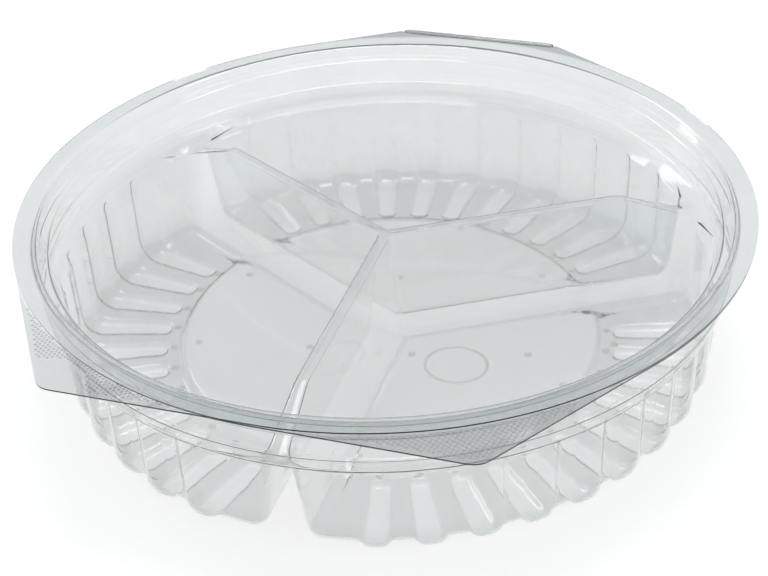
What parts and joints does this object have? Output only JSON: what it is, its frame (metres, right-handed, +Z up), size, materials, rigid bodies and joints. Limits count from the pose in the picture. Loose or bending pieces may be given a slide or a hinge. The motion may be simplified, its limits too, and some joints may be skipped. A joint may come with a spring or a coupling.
{
  "type": "hinged food container",
  "caption": "Round clear clamshell food container with a Y-divided fluted tray and a lid on a living hinge.",
  "frame": {"origin": "on the rim's axis, in the plane of the feet; within 1.5 mm of the middle of the bounding box's underside", "axes": "+Z up out of the tray, +Y towards the living hinge, +X to the right seen from the front with the hinge behind"},
  "size_m": [0.2, 0.203, 0.048],
  "materials": {
    "clear_pet": "clear, glossy thermoformed PET sheet"
  },
  "bodies": {
    "tray": {"tray_flange": "clear_pet", "tray_collar": "clear_pet", "wall_back": "clear_pet", "wall_left": "clear_pet", "wall_right": "clear_pet", "floor_back": "clear_pet", "floor_left": "clear_pet", "floor_right": "clear_pet", "divider_front": "clear_pet", "divider_left": "clear_pet", "divider_right": "clear_pet", "living_hinge": "clear_pet"},
    "lid": {"lid_flange": "clear_pet", "lid_rim_plug": "clear_pet", "lid_recess_wall": "clear_pet", "lid_panel": "clear_pet"}
  },
  "joints": [
    {"name": "lid_hinge", "type": "hinge", "parent": "tray", "child": "lid", "pos_m": [0, 0.102, 0.04705], "axis": [-1, 0, 0], "range_deg": [0, 180], "deforming": ["living_hinge"]}
  ]
}
